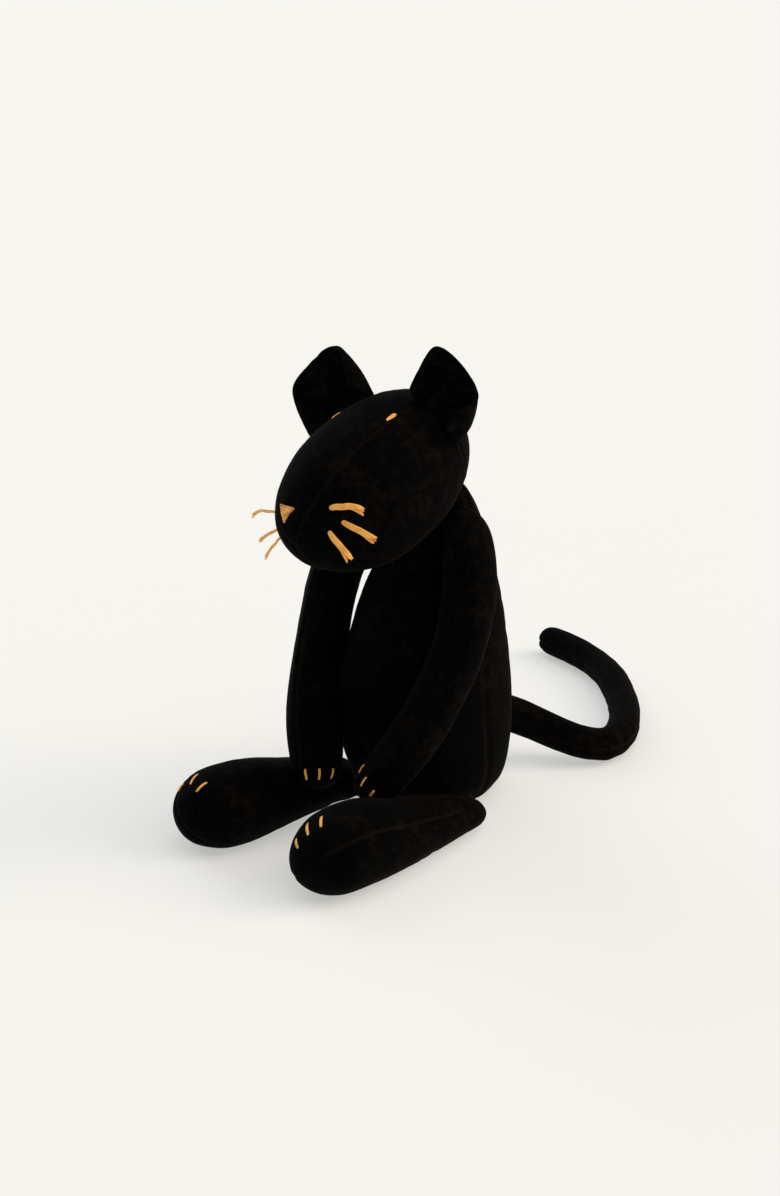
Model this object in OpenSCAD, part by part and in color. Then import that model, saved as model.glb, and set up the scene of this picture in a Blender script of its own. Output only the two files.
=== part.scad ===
// Sitting plush cat: velvet panels sewn into shells over stuffing, with embroidered details.
// The cat faces -Y, its left is +X. The origin is the centre of the seat, on the floor.

/* [Cloth and thread] */
// thickness of the velvet panels
skin_t = 1.2; // [0.9:0.1:1.4]
// thickness of the ear cloth, per layer
ear_t = 1.3; // [0.9:0.1:1.6]
// gap left between pieces that move against each other
gap = 0.6; // [0.5:0.1:0.9]
// diameter of the embroidery floss in the claws and eyes
floss_d = 2.0; // [1.4:0.1:2.4]
// diameter of a whisker tuft
whisker_d = 3.2; // [2.2:0.1:3.8]
// length of a whisker tuft
whisker_l = 21; // [14:1:26]

/* [Stuffing] */
// radius of the pellet bag in the seat
bag_r = 27; // [18:1:32]
// thickness of the pellet bag
bag_h = 18; // [12:1:22]

/* [Ears] */
// height of an ear above its seam
ear_h = 38; // [30:1:42]
// how deeply an ear is cupped
ear_cup = 15; // [8:1:18]

/* [Hidden] */

velvet = [0.03, 0.028, 0.03];
lining = [0.05, 0.047, 0.05];
fibre = [0.93, 0.92, 0.89];
gold = [0.95, 0.62, 0.2];
canvas = [0.8, 0.76, 0.66];

// Each station is [x, y, z, half width, half thickness].
torso_path = [
    [0, 3, 0, 38, 44],
    [0, 3, 12, 44.5, 52.5],
    [0, 3, 26, 48, 58.5],
    [0, 0.5, 42, 49.5, 62.5],
    [0, -1.5, 60, 49.5, 64.5],
    [0, -3, 80, 48.5, 64.5],
    [0, -3.5, 100, 47, 63],
    [0, -2, 120, 44.5, 59.5],
    [0, 0.5, 140, 41, 54.5],
    [0, 2.5, 160, 36, 48],
    [0, 4, 178, 32, 41],
    [0, 5.5, 194, 28, 33.5],
    [0, 7, 206, 24.5, 27],
    [0, 9, 216, 20, 20],
    [0, 11.5, 223, 14.5, 12.5]
];

head_centre = [-1, -53, 233];
head_l = 148;
head_r = 48;
head_aim = unit([0, -0.931, -0.365]);
head_up = [-0.19, 0, 0.98];
// Each pair is [half width, half height], spaced evenly from the back of the head to the nose.
head_radii = [
    [48, 48], [48, 48], [48, 48], [48, 48], [48, 48], [48, 48],
    [48, 48], [47, 47], [45.5, 45.5], [44, 44], [43, 43]
];
// how far the nose end swings toward the cat's right
snout_swing = -3;
head_path = [
    for (k = [0:10])
        let (c = head_centre + head_aim * head_l * (k / 10 - 0.5) + [snout_swing * pow(k / 10, 2), 0, 0])
        [c[0], c[1], c[2], head_radii[k][0], head_radii[k][1]]
];
muzzle_c = 0.42;

arm_path = [
    [32, -7, 212, 14, 9],
    [37.5, -11, 199, 18.5, 13],
    [44, -15, 183, 20, 15],
    [49, -20, 165, 20, 15.5],
    [52, -27, 147, 20, 15.5],
    [52.5, -35, 128, 20.5, 15.5],
    [50.5, -43.5, 110, 20.5, 15.5],
    [46.5, -52, 93, 20.5, 15.5],
    [41.5, -60, 77, 20.5, 15.5],
    [34, -67, 62, 20, 15.5],
    [25.5, -72.5, 49, 19.5, 15],
    [19.5, -77, 37, 18.5, 14.5],
    [16, -80, 27, 16.5, 13.5]
];

leg_path = [
    [39.5, -27, 9.5, 25, 7.5],
    [44, -36, 12, 25, 10.5],
    [48, -49, 14, 25, 13.5],
    [49.5, -66, 16.2, 25.5, 15.8],
    [50, -83, 18.7, 26.5, 18.2],
    [50, -100, 21, 28.5, 20.8],
    [48.5, -116.5, 23.5, 30, 23.2],
    [47, -133.5, 24.5, 30, 24.3],
    [46, -150.5, 24.3, 28.5, 24],
    [45.5, -170.5, 23.5, 25.5, 22.5]
];
// how far the right arm and leg lie from the mirror image of the left ones, station by station
right_arm_shift = [
    [0, -1, 0], [1.5, -5, 0], [3.5, -8.5, 0], [5, -10, 0], [5.5, -9, 0], [4.5, -7.5, 0], [3.5, -7, 0],
    [3, -7, 0], [2.5, -7, 0], [3, -7.5, 0], [3.5, -8, 0], [3.5, -8.5, 0], [3.5, -8.5, 0]
];
right_leg_shift = [
    [-3, -5, 0], [-3, -6, 0], [-3, -7, 0.5], [-4, -7.5, 1], [-5, -7.5, 1], [-3.5, -7, 1], [0.5, -7, 0.5],
    [5, -7, 0], [7.5, -7, 0], [8.5, -7, 0]
];

tail_path = [
    [3, 66, 40, 13, 13],
    [9, 75.5, 36, 13, 13],
    [18, 86.5, 29, 13, 13],
    [33, 96.5, 21.5, 12.5, 12.5],
    [50, 107.5, 15, 12.2, 12.2],
    [61, 122, 12, 12, 12],
    [57, 146, 12, 12, 12],
    [41, 173, 12, 12, 12],
    [18, 200, 12, 12, 12],
    [-9, 225, 12, 12, 12],
    [-40, 244, 12, 12, 12],
    [-72, 255, 12, 12, 12],
    [-101, 259, 12.2, 12, 12]
];

function shifted(s, d) = [for (k = [0:len(s) - 1]) s[k] + [d[k][0], d[k][1], d[k][2], 0, 0]];
function arm_line(side) = side > 0 ? arm_path : shifted(arm_path, right_arm_shift);
function leg_line(side) = side > 0 ? leg_path : shifted(leg_path, right_leg_shift);
function unit(v) = v / norm(v);
function spot(v) = [v[0], v[1], v[2]];
function mix(a, b, t) = a + (b - a) * t;

// Catmull-Rom value through the list s, at t from 0 to 1.
function along(s, t) =
    let (
        u = min(max(t, 0), 1) * (len(s) - 1),
        k = min(floor(u), len(s) - 2),
        f = u - k,
        p0 = s[max(k - 1, 0)],
        p1 = s[k],
        p2 = s[k + 1],
        p3 = s[min(k + 2, len(s) - 1)],
        square = 2 * p0 - 5 * p1 + 4 * p2 - p3,
        cubic = 3 * p1 - p0 - 3 * p2 + p3
    )
    0.5 * (2 * p1 + f * (p2 - p0) + f * f * square + f * f * f * cubic);

function aim(s, t) = unit(spot(along(s, min(t + 0.01, 1))) - spot(along(s, max(t - 0.01, 0))));

// Point on a limb: t along it, q degrees round it, f from 0 at a rounded tip to 1 on the full section.
function place(s, up, t, q, f = 1) =
    let (v = along(s, t), d = aim(s, t), e = unit(cross(d, up)), n = cross(e, d))
    spot(v) + f * (v[3] * cos(q) * e + v[4] * sin(q) * n);

// Rows [t, f] of a limb with a rounded start of length c0, n body steps and a rounded end of length c1.
function rows(c0, c1, n, m0, m1) = concat(
    [for (k = [0:m0 - 1]) [c0 * (1 - cos(90 * k / m0)), sin(90 * k / m0)]],
    [for (k = [0:n]) [mix(c0, 1 - c1, k / n), 1]],
    [for (k = [m1 - 1:-1:0]) [1 - c1 * (1 - cos(90 * k / m1)), sin(90 * k / m1)]]
);

function grid(s, up, rs, m) = [for (r = rs) [for (j = [0:m - 1]) place(s, up, r[0], 360 * j / m, r[1])]];

function middle(row) = [for (k = [0:2]) [for (p = row) 1] * [for (p = row) p[k]] / len(row)];

// Outward normal of a closed-column grid at row i, column j.
function outward(g, i, j) =
    let (
        m = len(g[0]),
        n = len(g) - 1,
        du = g[min(i + 1, n)][j] - g[max(i - 1, 0)][j],
        dv = g[i][(j + 1) % m] - g[i][(j + m - 1) % m]
    )
    norm(dv) > 0.001 ? unit(cross(du, dv)) : unit(g[i][0] - middle(g[i == 0 ? 1 : n - 1]));

function inset(g, t) = [
    for (i = [0:len(g) - 1]) [for (j = [0:len(g[0]) - 1]) g[i][j] - t * outward(g, i, j)]
];

function above(g, z) = [for (row = g) [for (p = row) [p[0], p[1], max(p[2], z)]]];

// Moves points out of the head, so that the cloth bulges round what it leans on.
head_side = unit(cross(head_aim, head_up));
head_top = cross(head_side, head_aim);
function off_head(g, c) = [
    for (row = g) [
        for (p = row)
            let (
                v = p - head_centre,
                a = head_l / 2 + c,
                r = head_r + c,
                k = norm([v * head_aim / a, v * head_side / r, v * head_top / r])
            )
            k < 1 ? head_centre + v / k : p
    ]
];

// Moves points sideways out of the torso.
torso_w = [for (s = torso_path) [s[2], s[3]]];
torso_d = [for (s = torso_path) [s[2], s[4]]];
torso_y = [for (s = torso_path) [s[2], s[1]]];
function off_torso(g, c) = [
    for (row = g) [
        for (p = row)
            let (
                a = lookup(p[2], torso_w) + c,
                b = lookup(p[2], torso_d) + c,
                y = lookup(p[2], torso_y),
                k = norm([p[0] / a, (p[1] - y) / b])
            )
            k < 1 && p[2] < 216 ? [p[0] / k, y + (p[1] - y) / k, p[2]] : p
    ]
];

// Lifts points out of the leg lying under them.
function off_leg(g, s, c) =
    let (
        x = [for (k = [len(s) - 1:-1:0]) [s[k][1], s[k][0]]],
        z = [for (k = [len(s) - 1:-1:0]) [s[k][1], s[k][2]]],
        a = [for (k = [len(s) - 1:-1:0]) [s[k][1], s[k][3] + c]],
        b = [for (k = [len(s) - 1:-1:0]) [s[k][1], s[k][4] + c]]
    )
    [
        for (row = g) [
            for (p = row)
                let (
                    y = p[1],
                    u = (p[0] - lookup(y, x)) / lookup(y, a),
                    w = (p[2] - lookup(y, z)) / lookup(y, b),
                    top = lookup(y, z) + lookup(y, b) * sqrt(max(1 - u * u, 0))
                )
                norm([u, w]) < 1 && p[2] < top ? [p[0], y, top] : p
        ]
    ];

neck_gap = 3 * gap;

torso_cols = 24;
torso_rows = concat([for (k = [0:18]) [k / 18, 1]], [[1, 0.6], [1, 0]]);
torso_outer = off_head(grid(torso_path, [0, 1, 0], torso_rows, torso_cols), neck_gap);
torso_raw = inset(torso_outer, skin_t);
torso_inner = concat(
    [[for (j = [0:torso_cols - 1])
        let (p = torso_outer[0][j], c = middle(torso_outer[0])) p + unit(c - p) * skin_t]],
    [for (i = [1:len(torso_raw) - 1]) torso_raw[i]]
);
// the stuffing stands on the seat panel, one cloth thickness above the floor
torso_core = concat(
    [[for (j = [0:torso_cols - 1])
        let (a = torso_inner[0][j], b = torso_inner[1][j]) mix(a, b, (skin_t - a[2]) / (b[2] - a[2]))]],
    [for (i = [1:len(torso_inner) - 1]) torso_inner[i]]
);

head_cols = 20;
head_rows = rows(0.5, muzzle_c, 2, 8, 7);
head_outer = grid(head_path, head_up, head_rows, head_cols);
head_inner = inset(head_outer, skin_t);

arm_cols = 14;
arm_tip = 0.085;
arm_rows = rows(0.09, arm_tip, 12, 3, 3);
function arm_cover(side) =
    let (
        raw = grid(arm_line(side), [1, 0, 0], arm_rows, arm_cols),
        clear = off_head(off_torso(raw, gap + 0.8), gap + 4)
    )
    above(off_leg(clear, leg_line(side), gap + 1), 3);

leg_cols = 16;
// column where the upper panel starts, so that its outer seam runs high on the foot
leg_seam = 14;
leg_tip = 0.16;
leg_rows = rows(0.025, leg_tip, 11, 2, 5);
function leg_cover(side) = above(off_torso(grid(leg_line(side), [0, 0, 1], leg_rows, leg_cols), gap + 3), 0);

tail_cols = 12;
tail_rows = rows(0.034, 0.034, 20, 3, 3);
tail_outer = above(grid(tail_path, [0, 0, 1], tail_rows, tail_cols), 0);
tail_inner = above(inset(tail_outer, skin_t), skin_t);

// One sewn panel: rows i0 to i1 and columns j0 to j1 of the outer grid g and the inner grid h.
module panel(g, h, i0, i1, j0, j1) {
    m = len(g[0]);
    nr = i1 - i0 + 1;
    nc = j1 - j0 + 1;
    o = nr * nc;
    pts = [for (w = [g, h]) for (i = [i0:i1]) for (j = [j0:j1]) w[i][j % m]];
    sheet = [
        for (i = [0:nr - 2]) for (j = [0:nc - 2])
            let (a = i * nc + j, b = a + 1, c = a + nc, d = c + 1)
            each [[a, b, d], [a, d, c], [o + a, o + d, o + b], [o + a, o + c, o + d]]
    ];
    sides = [
        for (i = [0:nr - 2])
            let (a = i * nc, c = a + nc, b = a + nc - 1, d = c + nc - 1)
            each [[a, c, o + c], [a, o + c, o + a], [b, o + d, d], [b, o + b, o + d]]
    ];
    ends = [
        for (j = [0:nc - 2])
            let (a = j, b = a + 1, c = (nr - 1) * nc + j, d = c + 1)
            each [[a, o + b, b], [a, o + a, o + b], [c, d, o + d], [c, o + d, o + c]]
    ];
    polyhedron(points = pts, faces = concat(sheet, sides, ends));
}

// Solid stuffing inside a closed-column grid; an open first row is closed flat.
module core(h) {
    m = len(h[0]);
    nr = len(h);
    pts = [for (row = h) for (p = row) p];
    sheet = [
        for (i = [0:nr - 2]) for (j = [0:m - 1])
            let (a = i * m + j, b = i * m + (j + 1) % m, c = a + m, d = b + m)
            each [[a, b, d], [a, d, c]]
    ];
    floor_cap = norm(h[0][0] - h[0][1]) > 0.001 ? [for (j = [1:m - 2]) [0, j + 1, j]] : [];
    polyhedron(points = pts, faces = concat(sheet, floor_cap));
}

// Floss laid through the points c, thick d[k] at each, with six sides.
module floss(c, d, up) {
    n = len(c) - 1;
    rings = [
        for (k = [0:n])
            let (
                t = unit(c[min(k + 1, n)] - c[max(k - 1, 0)]),
                e = unit(cross(t, up)),
                w = cross(e, t)
            )
            [for (q = [0:60:300]) c[k] + d[k] / 2 * (cos(q) * e + sin(q) * w)]
    ];
    pts = concat([for (r = rings) for (p = r) p], [c[0], c[n]]);
    wall = [
        for (k = [0:n - 1]) for (j = [0:5])
            let (a = k * 6 + j, b = k * 6 + (j + 1) % 6)
            each [[a, b, b + 6], [a, b + 6, a + 6]]
    ];
    tips = [
        for (j = [0:5])
            let (b = (j + 1) % 6)
            each [[6 * n + 6, b, j], [6 * n + 7, 6 * n + j, 6 * n + b]]
    ];
    polyhedron(points = pts, faces = concat(wall, tips));
}

// Outward direction and raised point of a limb's own surface.
function rise(s, up, t, q, f, h) =
    let (
        p = place(s, up, t, q, f),
        a = place(s, up, t, q + 2, f) - place(s, up, t, q - 2, f),
        b = place(s, up, min(t + 0.01, 1), q, f) - place(s, up, max(t - 0.01, 0), q, f)
    )
    p + h * unit(cross(b, a));

// Size of a limb's section at t, when its far end is rounded over the share c of its length.
function tip_f(t, c) = t > 1 - c ? sqrt(1 - pow((t - 1 + c) / c, 2)) : 1;

// A short stitch that follows a limb with the rounded end share c, from [t, q] in u to [t, q] in v.
module stitch(s, up, c, u, v) {
    pts = [
        for (k = [0:4])
            let (w = mix(u, v, k / 4))
            rise(s, up, w[0], w[1], tip_f(w[0], c), floss_d / 2 + 0.25)
    ];
    thick = [0.55, 1, 1, 1, 0.55] * floss_d;
    floss(pts, thick, spot(along(s, u[0])) - pts[2]);
}

module mirrored(side) {
    if (side > 0) {
        children();
    } else {
        mirror([1, 0, 0])
            children();
    }
}

// ---------- torso ----------

module torso_front_panel() {
    color(velvet)
        panel(torso_outer, torso_inner, 0, len(torso_outer) - 1, torso_cols / 2, torso_cols);
}

module torso_back_panel() {
    color(velvet)
        panel(torso_outer, torso_inner, 0, len(torso_outer) - 1, 0, torso_cols / 2);
}

module seat_panel() {
    color(velvet)
        linear_extrude(skin_t)
            polygon([for (p = torso_inner[0]) [p[0], p[1]]]);
}

module pouch(r, h) {
    rotate_extrude($fn = 40)
        polygon([for (q = [-90:15:90]) [r * pow(cos(q), 0.6), h / 2 * sin(q)]]);
}

bag_z = 16;

module torso_stuffing() {
    color(fibre)
        difference() {
            core(torso_core);
            translate([0, 3, bag_z])
                pouch(bag_r, bag_h);
        }
}

module pellet_bag() {
    color(canvas)
        translate([0, 3, bag_z])
            pouch(bag_r, bag_h);
}

// closing thread, laid on the rim of the torso under the head
module neck_thread() {
    row = 16;
    d = 0.5 * gap + 0.4;
    pts = [
        for (k = [0:46])
            let (
                i = floor(k / 2),
                j = (i + 1) % torso_cols,
                f = k / 2 - i,
                p = mix(torso_outer[row][i], torso_outer[row][j], f),
                n = unit(mix(outward(torso_outer, row, i), outward(torso_outer, row, j), f))
            )
            p + n * (d / 2 + 0.1)
    ];
    color(velvet)
        floss(pts, [for (p = pts) d], [0, 0, 1]);
}

// ---------- head ----------

head_back_row = 5;
head_end_row = len(head_outer) - 1;
gusset_half = 2;
head_crown = 5;
head_chin = 15;

module head_top_gusset() {
    color(velvet)
        panel(head_outer, head_inner, head_back_row, head_end_row, head_crown - gusset_half,
            head_crown + gusset_half);
}

module head_left_panel() {
    color(velvet)
        panel(head_outer, head_inner, head_back_row, head_end_row, head_crown + gusset_half,
            head_chin);
}

module head_right_panel() {
    color(velvet)
        panel(head_outer, head_inner, head_back_row, head_end_row, head_chin,
            head_cols + head_crown - gusset_half);
}

module back_head_left_panel() {
    color(velvet)
        panel(head_outer, head_inner, 0, head_back_row, head_crown, head_chin);
}

module back_head_right_panel() {
    color(velvet)
        panel(head_outer, head_inner, 0, head_back_row, head_chin, head_cols + head_crown);
}

module head_stuffing() {
    color(fibre)
        core(head_inner);
}

module nose_embroidery() {
    base = 0.3;
    top = 1.5;
    nose = [for (k = [0:5]) [mix(0.926, 0.972, k / 5), mix(11.5, 1.5, pow(k / 5, 1.4))]];
    g = [
        for (h = [top, base]) [
            for (r = nose) [
                for (j = [-3:3])
                    let (f = tip_f(r[0], muzzle_c))
                    rise(head_path, head_up, r[0], 82 + r[1] * j / 3 / f, f, h)
            ]
        ]
    ];
    color(gold)
        panel(g[0], g[1], 0, 5, 0, 6);
}

module left_eye_stitch() {
    color(gold)
        stitch(head_path, head_up, muzzle_c, [0.455, 126], [0.39, 124]);
}

module right_eye_stitch() {
    color(gold)
        stitch(head_path, head_up, muzzle_c, [0.5, 70], [0.435, 68]);
}

// A tuft of floss that leaves the muzzle at [t, q] along way, sags by sag and frays wider at its tip.
module whisker(t, q, way, sag) {
    p = rise(head_path, head_up, t, q, tip_f(t, muzzle_c), 0.3);
    n = unit(rise(head_path, head_up, t, q, tip_f(t, muzzle_c), 1.3) - p);
    pts = [
        for (k = [0:6])
            let (u = k / 6)
            p + whisker_l * (n * 0.3 * (1 - pow(1 - u, 2)) + unit(way) * u + [0, 0, sag * u * (1 - u)])
    ];
    thick = [0.6, 0.85, 0.9, 0.95, 1, 1.15, 1.3] * whisker_d;
    color(gold)
        floss(pts, thick, [0, 0.3, 1]);
}

module left_whisker_upper() {
    whisker(0.885, 145, [1, 0.45, -0.05], 0.2);
}

module left_whisker_middle() {
    whisker(0.881, 166, [0.85, 0.4, -0.55], 0.1);
}

module left_whisker_lower() {
    whisker(0.93, 168, [0.5, 0.2, -0.85], 0.1);
}

module right_whisker_upper() {
    whisker(0.885, 22, [-1, 0.1, -0.35], 0.3);
}

module right_whisker_middle() {
    whisker(0.881, 2, [-0.8, 0, -0.65], 0.1);
}

module right_whisker_lower() {
    whisker(0.93, 0, [-0.5, 0, -0.85], 0.1);
}

// ---------- ears ----------

// Each seam is [start along the head, end along it, start angle from the crown, end angle].
left_ear_seam = [0.22, 0.2, 22, 84];
right_ear_seam = [0.27, 0.4, 20, 66];

function ear_lean(side) = side > 0 ? [-0.05, 0, 0.15] : [-0.35, -0.15, 0.4];

// Mid surface of an ear, from its curved seam on the head to its round rim.
ear_rows = 7;
ear_cols = 10;
function ear_mid(side) =
    let (
        s = side > 0 ? left_ear_seam : right_ear_seam,
        q0 = 90 + side * s[2],
        q1 = 90 + side * s[3],
        b = [
            for (j = [0:ear_cols])
                let (u = j / ear_cols, t = mix(s[0], s[1], u), f = sqrt(1 - pow(1 - 2 * t, 2)))
                rise(head_path, head_up, t, mix(q0, q1, u), f, ear_t + gap + 0.3)
        ],
        c = b[ear_cols / 2],
        ex = unit(b[ear_cols] - b[0]),
        ey = unit(unit(c - head_centre) + ear_lean(side)),
        ez = side * unit(cross(ex, ey))
    )
    [
        for (i = [0:ear_rows]) [
            for (j = [0:ear_cols])
                let (
                    u = 2 * j / ear_cols - 1,
                    v = i / ear_rows,
                    w = u * mix(1, 1.15, sin(150 * v)),
                    h = ear_h * pow(1 - pow(abs(u), 2.2), 0.5)
                )
                b[j] + ex * (w - u) * 20 + ey * h * v
                    + ez * ear_cup * v * (u * u * (1.2 + 0.9 * max(u, 0)) - 0.4 + 0.3 * v)
        ]
    ];

function open_normal(g, i, j) =
    let (
        n = len(g) - 1,
        m = len(g[0]) - 1,
        k = min(max(j, 1), m - 1),
        du = g[min(i + 1, n)][k] - g[max(i - 1, 0)][k],
        dv = g[i][min(k + 1, m)] - g[i][max(k - 1, 0)]
    )
    unit(cross(du, dv));

function lift(g, t) = [
    for (i = [0:len(g) - 1]) [for (j = [0:len(g[0]) - 1]) g[i][j] + t * open_normal(g, i, j)]
];

module ear_layer(side, t) {
    g = ear_mid(side);
    h = lift(g, t);
    color(t * side > 0 ? velvet : lining)
        if (t > 0) {
            panel(h, g, 0, ear_rows, 0, ear_cols);
        } else {
            panel(g, h, 0, ear_rows, 0, ear_cols);
        }
}

module left_ear_back() {
    ear_layer(1, ear_t);
}

module left_ear_lining() {
    ear_layer(1, -ear_t);
}

module right_ear_back() {
    ear_layer(-1, -ear_t);
}

module right_ear_lining() {
    ear_layer(-1, ear_t);
}

// ---------- arms ----------

module arm_panel(side, j0) {
    g = arm_cover(side);
    color(velvet)
        mirrored(side)
            panel(g, inset(g, skin_t), 0, len(g) - 1, j0, j0 + arm_cols / 2);
}

module arm_stuffing(side) {
    color(fibre)
        mirrored(side)
            core(inset(arm_cover(side), skin_t));
}

// Each claw stitch runs from [along, round] to [along, round] on its own paw or foot.
left_paw_lines = [[[0.845, -32], [0.885, -32]], [[0.86, 4], [0.905, 4]], [[0.88, 40], [0.92, 40]]];
right_paw_lines = [[[0.91, -14], [0.955, -14]], [[0.91, -50], [0.955, -50]], [[0.91, -86], [0.955, -86]]];
left_foot_lines = [[[0.95, 48], [0.98, 66]], [[0.9, 58], [0.945, 80]], [[0.86, 73], [0.91, 90]]];
right_foot_lines = [[[0.9, 135], [0.935, 140]], [[0.87, 113], [0.925, 108]], [[0.895, 82], [0.94, 84]]];

module paw_claws(side) {
    color(gold)
        mirrored(side)
            for (w = side > 0 ? left_paw_lines : right_paw_lines) {
                stitch(arm_line(side), [1, 0, 0], arm_tip, w[0], w[1]);
            }
}

module left_arm_outer_panel() {
    arm_panel(1, 0);
}

module left_arm_inner_panel() {
    arm_panel(1, arm_cols / 2);
}

module left_arm_stuffing() {
    arm_stuffing(1);
}

module left_paw_claws() {
    paw_claws(1);
}

module right_arm_outer_panel() {
    arm_panel(-1, 0);
}

module right_arm_inner_panel() {
    arm_panel(-1, arm_cols / 2);
}

module right_arm_stuffing() {
    arm_stuffing(-1);
}

module right_paw_claws() {
    paw_claws(-1);
}

// ---------- legs ----------

module leg_panel(side, j0) {
    g = leg_cover(side);
    color(velvet)
        mirrored(side)
            panel(g, above(inset(g, skin_t), skin_t), 0, len(g) - 1, j0, j0 + leg_cols / 2);
}

module leg_stuffing(side) {
    color(fibre)
        mirrored(side)
            core(above(inset(leg_cover(side), skin_t), skin_t));
}

module foot_claws(side) {
    color(gold)
        mirrored(side)
            for (w = side > 0 ? left_foot_lines : right_foot_lines) {
                stitch(leg_line(side), [0, 0, 1], leg_tip, w[0], w[1]);
            }
}

module left_leg_upper_panel() {
    leg_panel(1, leg_seam);
}

module left_leg_lower_panel() {
    leg_panel(1, leg_seam + leg_cols / 2);
}

module left_leg_stuffing() {
    leg_stuffing(1);
}

module left_foot_claws() {
    foot_claws(1);
}

module right_leg_upper_panel() {
    leg_panel(-1, leg_seam);
}

module right_leg_lower_panel() {
    leg_panel(-1, leg_seam + leg_cols / 2);
}

module right_leg_stuffing() {
    leg_stuffing(-1);
}

module right_foot_claws() {
    foot_claws(-1);
}

// ---------- tail ----------

tail_end_row = len(tail_outer) - 1;

module tail_upper_panel() {
    color(velvet)
        panel(tail_outer, tail_inner, 0, tail_end_row, 0, tail_cols / 2);
}

module tail_lower_panel() {
    color(velvet)
        panel(tail_outer, tail_inner, 0, tail_end_row, tail_cols / 2, tail_cols);
}

module tail_stuffing() {
    color(fibre)
        core(tail_inner);
}

torso_front_panel();
torso_back_panel();
seat_panel();
torso_stuffing();
pellet_bag();
neck_thread();
head_top_gusset();
head_left_panel();
head_right_panel();
back_head_left_panel();
back_head_right_panel();
head_stuffing();
nose_embroidery();
left_eye_stitch();
right_eye_stitch();
left_whisker_upper();
left_whisker_middle();
left_whisker_lower();
right_whisker_upper();
right_whisker_middle();
right_whisker_lower();
left_ear_back();
left_ear_lining();
right_ear_back();
right_ear_lining();
left_arm_outer_panel();
left_arm_inner_panel();
left_arm_stuffing();
left_paw_claws();
right_arm_outer_panel();
right_arm_inner_panel();
right_arm_stuffing();
right_paw_claws();
left_leg_upper_panel();
left_leg_lower_panel();
left_leg_stuffing();
left_foot_claws();
right_leg_upper_panel();
right_leg_lower_panel();
right_leg_stuffing();
right_foot_claws();
tail_upper_panel();
tail_lower_panel();
tail_stuffing();
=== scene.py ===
# %% [markdown]
# A sitting plush cat. Black velvet is sewn into shells over stuffing, and gold embroidery floss makes the
# eyes, the nose, the whiskers and the claws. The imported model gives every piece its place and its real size,
# so this script only has to make cloth look like cloth: it swells the shells, sews the seams in, lays the
# floss strand by strand and then lights the result.

# %% Load the fixed frame
import math

import bmesh
import bpy
import numpy as np
from mathutils import Matrix, Vector, noise
from mathutils.bvhtree import BVHTree
from mathutils.kdtree import KDTree


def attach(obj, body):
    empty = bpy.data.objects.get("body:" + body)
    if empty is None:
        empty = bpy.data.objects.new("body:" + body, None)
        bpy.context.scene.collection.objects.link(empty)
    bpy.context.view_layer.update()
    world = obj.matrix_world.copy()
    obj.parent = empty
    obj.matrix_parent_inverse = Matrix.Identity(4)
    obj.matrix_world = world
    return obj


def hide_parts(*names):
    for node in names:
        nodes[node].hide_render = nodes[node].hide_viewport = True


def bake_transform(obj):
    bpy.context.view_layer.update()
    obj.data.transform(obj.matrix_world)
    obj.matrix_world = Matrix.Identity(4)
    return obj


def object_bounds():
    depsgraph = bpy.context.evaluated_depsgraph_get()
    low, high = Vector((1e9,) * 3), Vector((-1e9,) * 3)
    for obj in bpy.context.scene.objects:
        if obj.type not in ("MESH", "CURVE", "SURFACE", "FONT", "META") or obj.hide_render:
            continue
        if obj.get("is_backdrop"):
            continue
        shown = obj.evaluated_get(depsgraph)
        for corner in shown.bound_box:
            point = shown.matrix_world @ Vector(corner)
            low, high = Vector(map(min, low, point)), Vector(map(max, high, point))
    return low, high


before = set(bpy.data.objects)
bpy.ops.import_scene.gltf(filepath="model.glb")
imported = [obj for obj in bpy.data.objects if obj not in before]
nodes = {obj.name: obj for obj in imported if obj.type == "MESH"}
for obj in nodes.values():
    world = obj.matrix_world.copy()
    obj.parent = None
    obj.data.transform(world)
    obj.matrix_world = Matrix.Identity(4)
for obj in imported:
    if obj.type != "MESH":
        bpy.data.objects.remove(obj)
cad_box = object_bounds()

MM = 0.001
scene = bpy.context.scene

# %% [markdown]
# ## The camera
# The toy is seen from its front left, from a little above, with a longish lens. The camera comes first
# because everything after it is judged through it.

# %% Camera
camera_data = bpy.data.cameras.new("camera")
camera_data.sensor_width = 36
camera_data.lens = 54.55
camera_data.clip_end = 50
camera = bpy.data.objects.new("camera", camera_data)
camera.location = (0.7352, -0.8577, 0.5520)
camera.rotation_euler = (math.radians(70), 0, math.radians(42))
scene.collection.objects.link(camera)
scene.camera = camera
print("camera at", [round(c, 3) for c in camera.location])

# %% [markdown]
# ## Shader node groups
# Two effects are shared by several cloths. The pile of a velvet is a fine speckle with soft brushed patches,
# which carry a painted sheen, and a spun thread has ridges that run along it. Each is a group that puts out a
# mask and a height, and every material mixes its own colours with them.

# %% Helpers for node groups
def new_group(name, inputs, outputs):
    group = bpy.data.node_groups.new(name, "ShaderNodeTree")
    for label, kind, value in inputs:
        socket = group.interface.new_socket(name=label, in_out="INPUT", socket_type=kind)
        if value is not None:
            socket.default_value = value
    for label, kind in outputs:
        group.interface.new_socket(name=label, in_out="OUTPUT", socket_type=kind)
    return group, group.nodes.new("NodeGroupInput"), group.nodes.new("NodeGroupOutput")


def add_noise(tree, vector, scale, detail=2.0, roughness=0.5):
    n = tree.nodes.new("ShaderNodeTexNoise")
    n.inputs["Scale"].default_value = scale
    n.inputs["Detail"].default_value = detail
    n.inputs["Roughness"].default_value = roughness
    tree.links.new(vector, n.inputs["Vector"])
    return n.outputs["Fac"]


def add_math(tree, operation, a, b, clamp=False):
    n = tree.nodes.new("ShaderNodeMath")
    n.operation = operation
    n.use_clamp = clamp
    for socket, value in zip(n.inputs, (a, b)):
        if isinstance(value, (int, float)):
            socket.default_value = value
        else:
            tree.links.new(value, socket)
    return n.outputs[0]


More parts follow.
